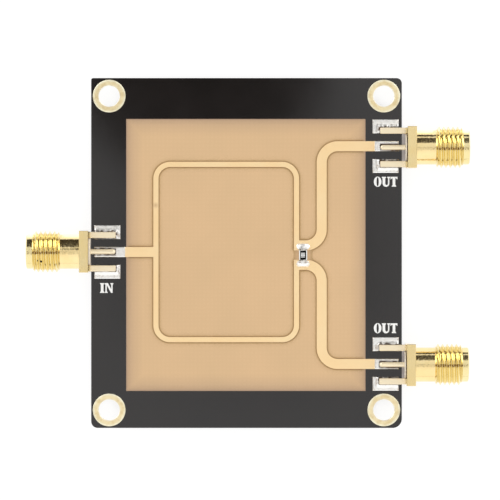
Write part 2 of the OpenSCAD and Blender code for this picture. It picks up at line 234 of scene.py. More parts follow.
# Etched copper
# The input line, two arms, two output lines and the jacks' pads, etched from one sheet of copper
# and plated with a thin satin coat of gold.
stain_at = (-13.9 * mm, 7.3 * mm, 0.9 * mm)
stain_reach = 0.55 * mm
stain_depth = 0.45
line_film = 5 * mm
satin_size = 0.12 * mm
satin_depth = 0.003 * mm
satin_gold, place = new_finish("satin_gold", {"Metallic": 0.3})
film = grain(satin_gold, place, line_film)
fine = grain(satin_gold, place, satin_size, detail=4.0, stretch=(2.5, 1, 1))
plated = ramp(satin_gold, film, (0.3, seen_as(255, 220, 165)), (0.7, seen_as(255, 225, 174)))
away = measure(satin_gold, "DISTANCE", place, stain_at)
blot = fade(satin_gold, away, 0, stain_reach, stain_depth, 0.0)
dress(
    satin_gold,
    {
        "Base Color": blend(satin_gold, blot, plated, seen_as(160, 106, 52)),
        "Roughness": spread(satin_gold, fine, 0.34, 0.5),
        "Normal": relief(satin_gold, fine, satin_depth),
    },
)
give(satin_gold, *solid("microstrip", "input_ground_pads", "output_1_ground_pads", "output_2_ground_pads"))

# Bolt holes
# Four holes lined with copper, with a ring on each face, grown in the plating bath and gilded.
# The plating is thickest at the rings' rims and rolls over into the barrel. Painted highlight makes the rims
# paler.
hole_r = 1.6 * mm
wall_t = 0.05 * mm
ring_r = 2.5 * mm
ring_swell = 0.02 * mm
roll = 0.06 * mm
ring_steps = 64
ring_crease = math.radians(40)
ring_film = 0.8 * mm
merge_gap = 0.0001 * mm


def only(piece):
    """Makes this the one selected and active object."""
    bpy.ops.object.select_all(action="DESELECT")
    piece.select_set(True)
    bpy.context.view_layer.objects.active = piece


def chain(name, points):
    """A new mesh, left in edit mode: one vertex, extruded from point to point."""
    bpy.ops.object.select_all(action="DESELECT")
    bpy.ops.mesh.primitive_plane_add(size=mm)
    piece = bpy.context.object
    piece.name = name
    bpy.ops.object.mode_set(mode="EDIT")
    bpy.ops.mesh.select_all(action="SELECT")
    bpy.ops.mesh.merge(type="CENTER")
    bpy.ops.transform.translate(value=points[0])
    for here, there in zip(points, points[1:]):
        bpy.ops.mesh.extrude_vertices_move(TRANSFORM_OT_translate={"value": there - here})
    bpy.ops.mesh.select_all(action="SELECT")
    return piece


def close_mesh():
    """Merges the doubles of the mesh in edit mode, turns its faces outwards and leaves edit mode."""
    bpy.ops.mesh.select_all(action="SELECT")
    bpy.ops.mesh.remove_doubles(threshold=merge_gap)
    bpy.ops.mesh.normals_make_consistent(inside=False)
    bpy.ops.object.mode_set(mode="OBJECT")


def turned(name, profile, axis, steps=96):
    """A solid turned about X or Z, from a profile of places along that axis and radii."""
    if axis == "X":
        points = [Vector((along, 0, radius)) for along, radius in profile]
    else:
        points = [Vector((radius, 0, along)) for along, radius in profile]
    piece = chain(name, points)
    about = (1, 0, 0) if axis == "X" else (0, 0, 1)
    bpy.ops.mesh.spin(steps=steps, angle=math.tau, center=(0, 0, 0), axis=about)
    close_mesh()
    return piece


def copy_of(pattern, name, location, turn=0):
    """A copy of a piece with its own mesh, turned about Z, its place in its mesh."""
    only(pattern)
    bpy.ops.object.duplicate()
    piece = bpy.context.object
    piece.name = name
    piece.rotation_euler.z = turn
    piece.location = location
    bpy.ops.object.transform_apply(location=True, rotation=True, scale=True)
    return piece


def ring_pattern(bottom, top):
    """One lined hole about Z: up the outside, over the upper ring and down the barrel."""
    lower = [(bottom, hole_r + roll), (bottom, ring_r - roll), (bottom + wall_t / 2, ring_r)]
    lower += [(bottom + wall_t, ring_r), (bottom + wall_t, hole_r + wall_t)]
    upper = [(top - wall_t, hole_r + wall_t), (top - wall_t, ring_r), (top - wall_t / 2, ring_r)]
    upper += [(top + ring_swell * 0.6, ring_r - roll), (top + ring_swell, ring_r - 3 * roll)]
    upper += [(top + ring_swell * 0.5, (hole_r + ring_r) / 2), (top, hole_r + roll), (top - roll, hole_r)]
    outline = lower + upper + [(bottom + roll, hole_r), lower[0]]
    piece = turned("ring", outline, "Z", ring_steps)
    bpy.ops.object.shade_smooth_by_angle(angle=ring_crease)
    return piece


ring_low, ring_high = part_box("eyelet_upper_right")
ring_middle = (ring_low + ring_high) / 2
gilded, place = new_finish("gilded", {"Metallic": 0.4})
away = measure(gilded, "ABSOLUTE", place)
away = measure(gilded, "SUBTRACT", away, (*ring_middle.xy, 0))
away = measure(gilded, "MULTIPLY", away, (1, 1, 0))
away = measure(gilded, "LENGTH", away)
away = fade(gilded, away, hole_r, ring_r)
film = grain(gilded, place, ring_film)
fine = grain(gilded, place, satin_size, detail=4.0)
# Painted highlight: paler at the hole's edge and at the ring's outer rim, by distance from the hole's middle.
plated = ramp(
    gilded, away, (0, seen_as(255, 250, 232)), (0.2, seen_as(250, 234, 190)),
    (0.6, seen_as(252, 236, 190)), (0.82, seen_as(255, 249, 219)),
)
worn = ramp(gilded, film, (0.36, (0.88, 0.83, 0.74, 1)), (0.5, (0.97, 0.95, 0.92, 1)), (0.6, white))
dress(
    gilded,
    {
        "Base Color": blend(gilded, 1.0, plated, worn, "MULTIPLY"),
        "Roughness": spread(gilded, fine, 0.26, 0.42),
        "Normal": relief(gilded, fine, satin_depth),
    },
)
pattern = ring_pattern(ring_low.z, ring_high.z)
give(gilded, pattern)
for corner in ("upper_left", "upper_right", "lower_left", "lower_right"):
    low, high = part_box("eyelet_" + corner)
    ring = copy_of(pattern, "ring_" + corner, (*((low + high) / 2).xy, 0))
    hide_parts("eyelet_" + corner)
    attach(ring, "root")
bpy.data.objects.remove(pattern)

# Solder masks
# Black lacquer, screened over both faces and baked. The upper one is a frame round an open window,
# and both are open at the pads and the rings. It is glossy, with a slight orange peel.
peel_size = 0.35 * mm
peel_depth = 0.0006 * mm
haze_size = 6 * mm
black_mask, place = new_finish("black_mask", {"IOR": 1.63})
peel = grain(black_mask, place, peel_size, detail=2.0)
haze = grain(black_mask, place, haze_size)
dress(
    black_mask,
    {
        "Base Color": ramp(black_mask, haze, (0.3, seen_as(24, 21, 20)), (0.7, seen_as(30, 26, 25))),
        "Roughness": spread(black_mask, haze, 0.12, 0.17),
        "Normal": relief(black_mask, peel, peel_depth),
    },
)
give(black_mask, *solid("top_mask", "bottom_mask"))

# Printed words
# A plain word beside each jack, screened in thick white ink on the mask.
# The letters are bold, with thick stems, thin joins and small feet.
ink_t = 0.02 * mm
ink_speck = 0.15 * mm
rough_depth = 0.004 * mm
cap = 1.5 * mm
stem = 0.32
thin = 0.16
foot = 0.10
narrow = 0.84
word_gap = 0.04
print_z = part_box("top_mask")[1].z
print_at = {
    "input_word": ("IN", -21.35 * mm, -5.35 * mm),
    "output_1_word": ("OUT", 21.3 * mm, 10.9 * mm),
    "output_2_word": ("OUT", 21.3 * mm, -11.5 * mm),
}


def arc(middle, across, up, start, end, steps=16):
    """Points along part of an ellipse, angles in degrees."""
    turns = [math.radians(start + (end - start) * step / steps) for step in range(steps + 1)]
    return [(middle[0] + across * math.cos(turn), middle[1] + up * math.sin(turn)) for turn in turns]


def letter_i():
    """Outline of an I, and its width, with a height of 1."""
    near, far = foot, foot + stem
    up = [(0, 0), (far + foot, 0), (far + foot, thin / 2), (far, thin), (far, 1 - thin)]
    over = [(far + foot, 1 - thin / 2), (far + foot, 1), (0, 1), (0, 1 - thin / 2)]
    down = [(near, 1 - thin), (near, thin), (0, thin / 2)]
    return [up + over + down], far + foot


def letter_n():
    """Outline of an N, and its width, with a height of 1."""
    left, right, slant = foot, 0.8, 0.3
    outline = [(0, 0), (left + thin + foot, 0), (left + thin + foot, thin / 2), (left + thin, thin)]
    outline += [(left + thin, 0.8), (right - 0.02, 0), (right + thin, 0), (right + thin, 1 - thin)]
    outline += [(right + thin + foot, 1 - thin / 2), (right + thin + foot, 1), (right - foot, 1)]
    outline += [(right - foot, 1 - thin / 2), (right, 1 - thin), (right, 0.36), (left + slant, 1), (0, 1)]
    outline += [(0, 1 - thin / 2), (left, 1 - thin), (left, thin), (0, thin / 2)]
    return [outline], right + thin + foot


def letter_o():
    """Outlines of an O, and its width, with a height of 1."""
    middle = (0.46, 0.5)
    return [arc(middle, 0.46, 0.52, 0, 350, 35), arc(middle, 0.46 - stem, 0.46, 350, 0, 35)], 0.92


def letter_u():
    """Outline of a U, and its width, with a height of 1."""
    left, right, drop = foot, 0.76, 0.34
    middle = ((left + right + thin) / 2, drop)
    outer = (right + thin - left) / 2
    outline = [(left, 1 - thin), (0, 1 - thin / 2), (0, 1), (left + stem + foot, 1)]
    outline += [(left + stem + foot, 1 - thin / 2), (left + stem, 1 - thin)]
    outline += arc(((left + stem + right) / 2, drop), (right - left - stem) / 2, drop - thin, 180, 360)
    outline += [(right, 1 - thin), (right - foot, 1 - thin / 2), (right - foot, 1), (right + thin + foot, 1)]
    outline += [(right + thin + foot, 1 - thin / 2), (right + thin, 1 - thin)]
    outline += arc(middle, outer, drop + 0.02, 360, 180)
    return [outline], right + thin + foot


def letter_t():
    """Outline of a T, and its width, with a height of 1."""
    wide, drop = 0.84, 0.28
    near, far = (wide - stem) / 2, (wide + stem) / 2
    outline = [(near - foot, 0), (far + foot, 0), (far + foot, thin / 2), (far, thin), (far, 1 - thin)]
    outline += [(wide - thin, 1 - thin), (wide, 1 - drop), (wide, 1), (0, 1), (0, 1 - drop), (thin, 1 - thin)]
    outline += [(near, 1 - thin), (near, thin), (near - foot, thin / 2)]
    return [outline], wide


def printed(name, word, x, y):
    """A word in ink, its middle at x and y, as a mesh on the mask."""
    ink = bpy.data.curves.new(name, "CURVE")
    ink.dimensions = "2D"
    ink.fill_mode = "BOTH"
    ink.extrude = ink_t / 2
    pen = 0
    letters = {"I": letter_i, "N": letter_n, "O": letter_o, "U": letter_u, "T": letter_t}
    for sign in word:
        outlines, width = letters[sign]()
        for outline in outlines:
            spline = ink.splines.new("POLY")
            spline.points.add(len(outline) - 1)
            spline.use_cyclic_u = True
            for point, (across, up) in zip(spline.points, outline):
                point.co = ((pen + across) * narrow * cap, up * cap, 0, 1)
        pen += width + word_gap
    piece = bpy.data.objects.new(name, ink)
    bpy.context.collection.objects.link(piece)
    only(piece)
    bpy.ops.object.convert(target="MESH")
    piece = bpy.context.object
    piece.location = (x - pen * narrow * cap / 2, y - cap / 2, print_z + ink_t / 2)
    bpy.ops.object.transform_apply(location=True, rotation=True, scale=True)
    return piece


white_ink, place = new_finish("white_ink", {"Roughness": 0.6})
speckle = grain(white_ink, place, ink_speck)
dress(
    white_ink,
    {
        "Base Color": ramp(white_ink, speckle, (0.3, seen_as(236, 236, 234)), (0.6, seen_as(252, 252, 250))),
        "Normal": relief(white_ink, speckle, rough_depth),
    },
)
for name, (word, x, y) in print_at.items():
    label = printed(name, word, x, y)
    give(white_ink, label)
    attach(label, "root")

# Chip resistor
# A white ceramic block with tinned ends and a black glass coat over its film, marked with a plain value.
# It lies across the gap between the ends of the two arms.
chip_bevel = 0.035 * mm
coat_bevel = 0.045 * mm
block_crease = math.radians(35)
ceramic_speck = 0.06 * mm
glass_speck = 0.12 * mm
tin_ripple = 0.3 * mm
tin_dull = 0.5 * mm
mark_t = 0.006 * mm
mark_h = 0.8 * mm
mark_bold = 0.035 * mm
mark_narrow = 0.72
mark_turn = math.radians(90)


def apply_modifier(piece, kind, **settings):
    """Adds a modifier to a piece and applies it."""
    only(piece)
    modifier = piece.modifiers.new(kind.lower(), kind)
    for name, value in settings.items():
        setattr(modifier, name, value)
    bpy.ops.object.modifier_apply(modifier=modifier.name)


def block(name, low, high, bevel, segments=2):
    """A block between two corners, its edges rounded, its place in its mesh."""
    bpy.ops.object.select_all(action="DESELECT")
    low, high = Vector(low), Vector(high)
    bpy.ops.mesh.primitive_cube_add(size=1, location=(low + high) / 2)
    piece = bpy.context.object
    piece.name = name
    piece.scale = high - low
    bpy.ops.object.transform_apply(location=True, rotation=True, scale=True)
    apply_modifier(piece, "BEVEL", width=bevel, segments=segments, limit_method="ANGLE")
    bpy.ops.object.mode_set(mode="EDIT")
    close_mesh()
    bpy.ops.object.shade_smooth_by_angle(angle=block_crease)
    return piece


white_ceramic, place = new_finish("white_ceramic", {"Roughness": 0.55})
speckle = grain(white_ceramic, place, ceramic_speck)
fired = ramp(white_ceramic, speckle, (0.3, seen_as(240, 240, 237)), (0.7, seen_as(253, 253, 250)))
dress(white_ceramic, {"Base Color": fired, "Normal": relief(white_ceramic, speckle, rough_depth)})
black_glass, place = new_finish("black_glass", {"Roughness": 0.3, "Specular IOR Level": 0.1})
speckle = grain(black_glass, place, glass_speck)
coated = ramp(black_glass, speckle, (0.3, seen_as(4, 4, 5)), (0.7, seen_as(11, 11, 12)))
dress(black_glass, {"Base Color": coated, "Normal": relief(black_glass, speckle, rough_depth)})
tinned, place = new_finish("tinned", {"Metallic": 1.0})
ripple = grain(tinned, place, tin_ripple)
dull = grain(tinned, place, tin_dull)
dress(
    tinned,
    {
        "Base Color": ramp(tinned, dull, (0.3, seen_as(222, 217, 209)), (0.65, seen_as(248, 246, 240))),
        "Roughness": spread(tinned, dull, 0.06, 0.14),
        "Normal": relief(tinned, ripple, rough_depth),
    },
)
for name, finish, bevel, slot in (
    ("resistor_ceramic", white_ceramic, chip_bevel, "chip_ceramic"),
    ("resistor_coat", black_glass, coat_bevel, "chip_coat"),
    ("resistor_cap_upper", tinned, chip_bevel, "tin"),
    ("resistor_cap_lower", tinned, chip_bevel, "tin"),
):
    piece = block(name + "_form", *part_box(name), bevel)
    give(finish, piece)
    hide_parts(name)
    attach(piece, "root")

coat_low, coat_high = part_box("resistor_coat")
bpy.ops.object.select_all(action="DESELECT")
bpy.ops.object.text_add()
mark = bpy.context.object
mark.name = "resistor_mark"
mark.data.body = "101"
mark.data.size = mark_h
mark.data.offset = mark_bold
mark.data.extrude = mark_t
mark.data.align_x = "CENTER"
mark.data.align_y = "CENTER"
bpy.ops.object.convert(target="MESH")
mark = bpy.context.object
mark.rotation_euler.z = mark_turn
mark.scale.x = mark_narrow
mark.location = (*((coat_low + coat_high) / 2).xy, coat_high.z)
bpy.ops.object.transform_apply(location=True, rotation=True, scale=True)
give(white_ink, mark)
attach(mark, "root")

# Resistor joints
# Two puddles of solder, melted under the chip's ends and drawn up over them, round at their rims.
# They set with an uneven skin, without the painted shade of the jacks' joints.
chip_film = 0.06 * mm
chip_rise = 0.36 * mm
chip_round = 0.7
chip_rim = 0.15 * mm
chip_cell = 0.04 * mm
chip_lumps = 0.3 * mm
under_cap = 0.1 * mm
joint_cell = 0.07 * mm
joint_rim = 0.12 * mm
rim_t = 0.008 * mm
skirt = 0.1 * mm
solder_crease = math.radians(50)
lump = 0.016 * mm
lump_size = 0.45 * mm
crevice_reach = 0.28 * mm
crevice_patch = 0.8 * mm
patch_from = 0.4
patch_to = 0.5
patch_least = 0.6
solder_ripple = 0.22 * mm
ripple_depth = 0.006 * mm
solder_dull = 0.7 * mm


def puddle(name, low, high, floor, crown, roundness, down=1, cell=joint_cell, rim_w=joint_rim):
    """Solder between two corners of a pad, thin at its rim and round at its corners.

    crown(x, y) gives its thickness and how far off the leg or pin is, close to which painted shade darkens
    the solder.
    """
    bpy.ops.object.select_all(action="DESELECT")
    middle = [(a + b) / 2 for a, b in zip(low, high)]
    half = [(b - a) / 2 for a, b in zip(low, high)]
    across, along = [max(4, round(2 * size / cell)) for size in half]
    bpy.ops.mesh.primitive_grid_add(x_subdivisions=across, y_subdivisions=along, size=2)
    piece = bpy.context.object
    piece.name = name
    # This attribute marks where painted shade darkens the solder, close to a leg or pin.
    crevice_shade = piece.data.attributes.new("crevice_shade", "FLOAT", "POINT")
    for corner, darkened in zip(piece.data.vertices, crevice_shade.data):
        s, t, _ = corner.co
        x = middle[0] + half[0] * s * math.sqrt(1 - roundness * t * t / 2)
        y = middle[1] + half[1] * t * math.sqrt(1 - roundness * s * s / 2)
        inside = min((1 - abs(s)) * half[0], (1 - abs(t)) * half[1]) / rim_w
        rim = 1 - max(1 - inside, 0) ** 2
        thickness, away = crown(x, y)
        darkened.value = min(max(2 - 2 * away / crevice_reach, 0), 1)
        corner.co = (x, y, floor + down * (rim_t + thickness * rim))
    bpy.ops.object.mode_set(mode="EDIT")
    bpy.ops.mesh.select_all(action="SELECT")
    bpy.ops.mesh.extrude_region_move(TRANSFORM_OT_translate={"value": (0, 0, -down * skirt)})
    bpy.ops.transform.resize(value=(1, 1, 0), center_override=(0, 0, floor))
    bpy.ops.mesh.select_all(action="SELECT")
    bpy.ops.mesh.normals_make_consistent(inside=False)
    bpy.ops.object.mode_set(mode="OBJECT")
    bpy.ops.object.shade_smooth_by_angle(angle=solder_crease)
    return piece


def join(name, *pieces):
    """Several meshes as one piece."""
    only(pieces[0])
    for piece in pieces:
        piece.select_set(True)
    bpy.ops.object.join()
    pieces[0].name = name
    return pieces[0]


def uneven(x, y, size=lump_size):
    """Lumps in a skin of solder, between about -1 and 1."""
    return noise.noise(Vector((x, y, 0)) / size)


def chip_joint(cap_node):
    """The puddle at one end of the chip."""
    cap_low, cap_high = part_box(cap_node)
    side = 1 if cap_node.endswith("upper") else -1
    solder_low, solder_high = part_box("resistor_solder")
    stub_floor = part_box("microstrip")[1].z
    inner = (cap_low.y + cap_high.y) / 2 - side * under_cap
    outer = solder_high.y if side > 0 else solder_low.y
    middle = (cap_low.x + cap_high.x) / 2
    cap_end = cap_high.y if side > 0 else cap_low.y

    def crown(x, y):
        beside = (x - middle) / (solder_high.x - middle)
        beyond = max((y - cap_end) / (outer - cap_end), 0)
        bulge = math.sqrt(max(1 - beside ** 2 - beyond ** 2, 0))
        return chip_film + chip_rise * bulge + lump / 2 * uneven(x, y, chip_lumps), crevice_reach

    low = (solder_low.x, min(inner, outer))
    high = (solder_high.x, max(inner, outer))
    return puddle("chip_joint", low, high, stub_floor, crown, chip_round, cell=chip_cell, rim_w=chip_rim)


bright_solder, place = new_finish("bright_solder", {"Metallic": 0.65})
ripple = grain(bright_solder, place, solder_ripple, detail=2.0)
dull = grain(bright_solder, place, solder_dull)
skin = ramp(bright_solder, dull, (0.3, seen_as(250, 247, 241)), (0.6, seen_as(255, 254, 251)))
# Painted shade: dark brown laid over the solder in the crevices by the legs and pins, broken into patches by
# noise.
crevice_shade = add(bright_solder, "Attribute", {}, "Fac", attribute_name="crevice_shade")
patchy = grain(bright_solder, place, crevice_patch)
patchy = fade(bright_solder, patchy, patch_from, patch_to, patch_least)
crevice_shade = reckon(bright_solder, "MULTIPLY", crevice_shade, patchy)
dress(
    bright_solder,
    {
        "Base Color": blend(bright_solder, crevice_shade, skin, seen_as(70, 48, 29)),
        "Roughness": spread(bright_solder, dull, 0.12, 0.28),
        "Normal": relief(bright_solder, ripple, ripple_depth),
    },
)
chip_joints = join("resistor_joints", chip_joint("resistor_cap_upper"), chip_joint("resistor_cap_lower"))
give(bright_solder, chip_joints)
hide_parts("resistor_solder")
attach(chip_joints, "root")

# Jacks
# Edge-launch coaxial jacks: a barrel turned from brass with a fine thread cut on it, and a square flange
# and four legs milled behind it, gold plated. The legs clip over the board's edge, and solder has wetted
# and paled them. A dark speck sits on the input's thread.
flange_side = 6.35 * mm
flange_t = 1.4 * mm
flange_edge = 0.04 * mm
barrel_l = 9.52 * mm
neck_r = 2.625 * mm
neck_end = 4.35 * mm
thread_r = 3.15 * mm
thread_l = 4.2 * mm
thread_lead = 0.3 * mm
nose_edge = 0.15 * mm
thread_pitch = 0.7056 * mm
thread_depth = 0.42 * mm
thread_slope = math.radians(56.5)
crest_w = 0.07 * mm
root_r = thread_r - thread_depth
groove_top = 3.20 * mm
groove_steps = 72
jack_crease = math.radians(28)
pilot_r = 2.3 * mm
pilot_depth = 1.9 * mm
bead_r = 2.05 * mm
leg_w = 0.92 * mm
leg_h = 1.0 * mm
leg_l = 4.1 * mm
leg_edge = 0.09 * mm
leg_at = 2.56 * mm
leg_floors = (-0.39 * mm, -2.39 * mm)
overlap = 0.2 * mm
speck_at = (-31.3 * mm, -1.3 * mm, 4.1 * mm)
speck_reach = 0.2 * mm
speck_core = 0.16 * mm
speck_squeeze = (0.7, 1.0, 0.4)
jack_shift = 0.2 * mm
wet_from = 23.95 * mm
wet_to = 24.2 * mm
wet_pale = 0.75
wet_metal = 0.35
wet_rough = 0.16
turned_from = 25.75 * mm
turned_to = 25.85 * mm
milled_share = 0.1
threaded_from = 28.5 * mm
threaded_to = 28.7 * mm
tool_size = 0.3 * mm
tool_depth = 0.017 * mm
jack_film = 2.5 * mm
ports = ("input", "output_1", "output_2")


def axis_of(port):
    """Which way a jack points along X, and where its axis meets the back of its flange."""
    low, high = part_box(port + "_jack")
    outward = -1 if port == "input" else 1
    tip = low.x if outward < 0 else high.x
    middle = (low + high) / 2
    return outward, Vector((tip - outward * barrel_l, middle.y, middle.z))


def combine(body, tool, operation):
    """Joins a tool to a body, or cuts it away, and removes the tool."""
    apply_modifier(body, "BOOLEAN", object=tool, operation=operation, solver="EXACT")
    bpy.data.objects.remove(tool)


def thread_groove():
    """The threading tool's cut: a V with a narrow floor, wound round X past both ends of the thread."""
    flank = thread_depth / math.tan(thread_slope)
    floor = (thread_pitch - crest_w) / 2 - flank
    section = [(-floor - flank, thread_r), (-floor, root_r), (floor, root_r), (floor + flank, thread_r)]
    section += [(floor + flank, groove_top), (-floor - flank, groove_top), section[0]]
    begin = neck_end - thread_pitch / 2
    tool = chain("groove", [Vector((begin + across, 0, radius)) for across, radius in section])
    close_mesh()
    turns = math.ceil(thread_l / thread_pitch) + 1
    apply_modifier(
        tool, "SCREW", axis="X", angle=math.tau, screw_offset=thread_pitch, iterations=turns,
        steps=groove_steps, render_steps=groove_steps,
    )
    bpy.ops.object.mode_set(mode="EDIT")
    bpy.ops.mesh.select_all(action="SELECT")
    bpy.ops.mesh.remove_doubles(threshold=merge_gap)
    bpy.ops.mesh.fill_holes(sides=0)
    close_mesh()
    return tool


def jack_body():
    """One jack with the back of its flange at the origin and its barrel along X."""
    thread_end = neck_end + thread_l
    barrel = [(flange_t / 2, 0), (flange_t / 2, neck_r), (neck_end, neck_r)]
    barrel += [(neck_end + thread_lead, thread_r), (thread_end - thread_lead, thread_r), (thread_end, neck_r)]
    barrel += [(barrel_l - nose_edge, neck_r), (barrel_l, neck_r - nose_edge), (barrel_l, 0)]
    body = turned("jack", barrel, "X")
    combine(body, thread_groove(), "DIFFERENCE")
    half = flange_side / 2
    combine(body, block("flange", (0, -half, -half), (flange_t, half, half), flange_edge, 1), "UNION")
    for side in (-1, 1):
        for floor in leg_floors:
            low = (-leg_l, side * leg_at - leg_w / 2, floor)
            high = (overlap, side * leg_at + leg_w / 2, floor + leg_h)
            combine(body, block("leg", low, high, leg_edge, 1), "UNION")
    seat = barrel_l - pilot_depth
    mouth = barrel_l + overlap
    bore = [(-overlap, 0), (-overlap, bead_r), (seat, bead_r), (seat, pilot_r)]
    bore += [(barrel_l - overlap, pilot_r), (mouth, pilot_r + 2 * overlap), (mouth, 0)]
    combine(body, turned("bore", bore, "X"), "DIFFERENCE")
    only(body)
    bpy.ops.object.mode_set(mode="EDIT")
    close_mesh()
    bpy.ops.object.shade_smooth_by_angle(angle=jack_crease)
    return body


bright_gold, place = new_finish("bright_gold", {})
tool_lines = grain(bright_gold, place, tool_size, stretch=(1, 1.6, 1.6))
film = grain(bright_gold, place, jack_film)
away = measure(bright_gold, "SUBTRACT", place, speck_at)
away = measure(bright_gold, "MULTIPLY", away, speck_squeeze)
away = measure(bright_gold, "LENGTH", away)
speck = fade(bright_gold, away, speck_core, speck_reach, 1.0, 0.0)
plating = ramp(bright_gold, film, (0.3, seen_as(249, 223, 161)), (0.7, seen_as(253, 231, 175)))
rubbed = ramp(bright_gold, film, (0.3, seen_as(242, 224, 165)), (0.7, seen_as(248, 232, 179)))
along = add(bright_gold, "SeparateXYZ", {"Vector": place}, "X")
along = reckon(bright_gold, "SUBTRACT", along, jack_shift)
along = reckon(bright_gold, "ABSOLUTE", along)
wetted = fade(bright_gold, along, wet_from, wet_to, 1.0, 0.0)
threaded = fade(bright_gold, along, threaded_from, threaded_to)
turned_zone = fade(bright_gold, along, turned_from, turned_to, milled_share)
creamy = spread(bright_gold, wetted, 0.0, wet_pale)
tinged = blend(bright_gold, creamy, blend(bright_gold, threaded, plating, rubbed), seen_as(255, 243, 218))
from_axis = None
for port in ports:
    off = measure(bright_gold, "SUBTRACT", place, axis_of(port)[1])
    off = measure(bright_gold, "MULTIPLY", off, (0, 1, 1))
    off = measure(bright_gold, "LENGTH", off)
    from_axis = reckon(bright_gold, "MINIMUM", from_axis, off) if from_axis else off
up_flank = fade(bright_gold, from_axis, neck_r, thread_r)
# Painted shade: the thread's colour is darkened low on the flanks of its grooves.
groove_shade = ramp(
    bright_gold, up_flank, (0.05, white), (0.16, (0.91, 0.89, 0.83, 1)), (0.6, (0.98, 0.97, 0.95, 1)),
    (1, white),
)
tinged = blend(bright_gold, threaded, tinged, groove_shade, "MULTIPLY")
smooth = spread(bright_gold, film, 0.10, 0.16)
dress(
    bright_gold,
    {
        "Base Color": blend(bright_gold, speck, tinged, seen_as(30, 22, 14)),
        "Metallic": spread(bright_gold, wetted, 1.0, wet_metal),
        "Roughness": reckon(bright_gold, "MULTIPLY_ADD", wetted, wet_rough, smooth),
        "Normal": relief(bright_gold, tool_lines, tool_depth, turned_zone),
    },
)
pattern = jack_body()
give(bright_gold, pattern)
for port in ports:
    outward, back = axis_of(port)
    jack = copy_of(pattern, port + "_jack_body", back, 0 if outward > 0 else math.pi)
    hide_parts(port + "_jack")
    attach(jack, "root")
bpy.data.objects.remove(pattern)

# Beads and contacts
# A white plastic bead, pressed into the barrel from behind, holds the gold-plated contact in its middle.
# The contact has a slotted socket in front and a round pin behind. Painted shade darkens the seam between the
# bead and the flange, least at the input.
seam_w = 0.13 * mm
seam_shade = {"input": 0.25, "output_1": 1.0, "output_2": 1.0}
bead_speck = 0.3 * mm
for port, darkness in seam_shade.items():
    outward, back = axis_of(port)
    white_bead, place = new_finish(port + "_white_bead", {"Roughness": 0.42})
    speckle = grain(white_bead, place, bead_speck)
    plastic = ramp(white_bead, speckle, (0.3, seen_as(238, 232, 224)), (0.7, seen_as(250, 246, 240)))
    along = add(white_bead, "SeparateXYZ", {"Vector": place}, "X")
    behind = reckon(white_bead, "MULTIPLY_ADD", along, -outward, outward * back.x)
    # Painted shade in the seam where the bead meets the flange's back.
    seam = fade(white_bead, behind, seam_w / 2, seam_w, darkness, 0.0)
    dress(
        white_bead,
        {
            "Base Color": blend(white_bead, seam, plastic, seen_as(66, 46, 28)),
            "Normal": relief(white_bead, speckle, rough_depth),
        },
    )
    give(white_bead, *solid(port + "_insulator"))
    give(bright_gold, *solid(port + "_contact"))

# Jack joints
# Solder that wets the whole of each pad and climbs the sides of the leg or pin that lies on it. Painted shade
# darkens it there, in patches, most on the side of each leg towards +Y. The pads of the underside are the
# same.
pad_w = 2.1 * mm
pad_round = 0.03
film_t = 0.05 * mm
fine_lumps = 0.2 * mm
leg_rise = 0.5 * mm
leg_reach = 0.7 * mm
leg_lumps = 0.55 * mm
lump_mean = 0.6
fine_share = 0.5
wet_mean = 0.6
wet_swing = 0.4
shade_swing = 1.6
shade_least = 0.3
shade_cut = 2.5
pin_r = 0.39 * mm
pin_rise = 0.08 * mm
pin_reach = 0.2 * mm
pin_lumps = 0.35 * mm
pin_lump_mean = 0.5
pin_sink = 0.2
tip_run = 0.2 * mm
line_round = 0.05
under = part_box("ground_plane")[0].z


def leg_joint(port, side, floor, down):
    """The puddle round one leg, on the upper face or, with down -1, on the underside."""
    outward, back = axis_of(port)
    pad_low, pad_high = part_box(port + "_ground_pads")
    leg_y = back.y + side * leg_at
    tip = back.x - outward * leg_l
    y = (pad_low.y, pad_low.y + pad_w) if side < 0 else (pad_high.y - pad_w, pad_high.y)

    def crown(x, y):
        beyond = max((tip - x) * outward, 0)
        beside = max(abs(y - leg_y) - leg_w / 2, 0)
        away = math.hypot(beyond, beside)
        wetting = wet_mean + wet_swing * uneven(x, leg_y, leg_lumps)
        climb = leg_rise * wetting * max(1 - away / leg_reach, 0) ** 2
        thickness = film_t + climb + lump * (lump_mean + uneven(x, y) + fine_share * uneven(y, x, fine_lumps))
        # Painted shade reaches farther on the side of the leg towards +Y, where shade falls, and less far on
        # the other side.
        shade_spread = max(1 + shade_swing * uneven(x, leg_y + crevice_reach), shade_least)
        return thickness, away / shade_spread if y > leg_y else shade_cut * away

    return puddle("leg_joint", (pad_low.x, y[0]), (pad_high.x, y[1]), floor, crown, pad_round, down)


def pin_joint(port):
    """The puddle along the pin, on the tinned end of its line."""
    outward, back = axis_of(port)
    low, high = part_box(port + "_pin_solder")
    contact_low, contact_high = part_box(port + "_contact")
    tip = contact_high.x if outward < 0 else contact_low.x

    def crown(x, y):
        beyond = (tip - x) * outward
        beside = abs(y - back.y) - pin_r
        low_beyond = max(beyond + tip_run, 0)
        low_beside = max(beside + pin_sink * pin_r, 0)
        climb = pin_rise * max(1 - math.hypot(low_beyond / 2, low_beside) / pin_reach, 0) ** 2
        thickness = film_t + climb + lump * (pin_lump_mean + uneven(x, y, pin_lumps))
        return thickness, math.hypot(shade_cut * max(beyond, 0), max(beside, 0))

    return puddle("pin_joint", low.xy, high.xy, low.z, crown, line_round)


for port in ports:
    pad_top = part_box(port + "_ground_pads")[1].z
    skins = [leg_joint(port, side, pad_top, 1) for side in (-1, 1)]
    skins += [leg_joint(port, side, under, -1) for side in (-1, 1)]
    legs = join(port + "_leg_joints", *skins)
    pin = pin_joint(port)
    pin.name = port + "_pin_joint"
    for piece, replaced in ((legs, "_leg_solder"), (pin, "_pin_solder")):
        give(bright_solder, piece)
        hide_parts(port + replaced)
        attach(piece, "root")

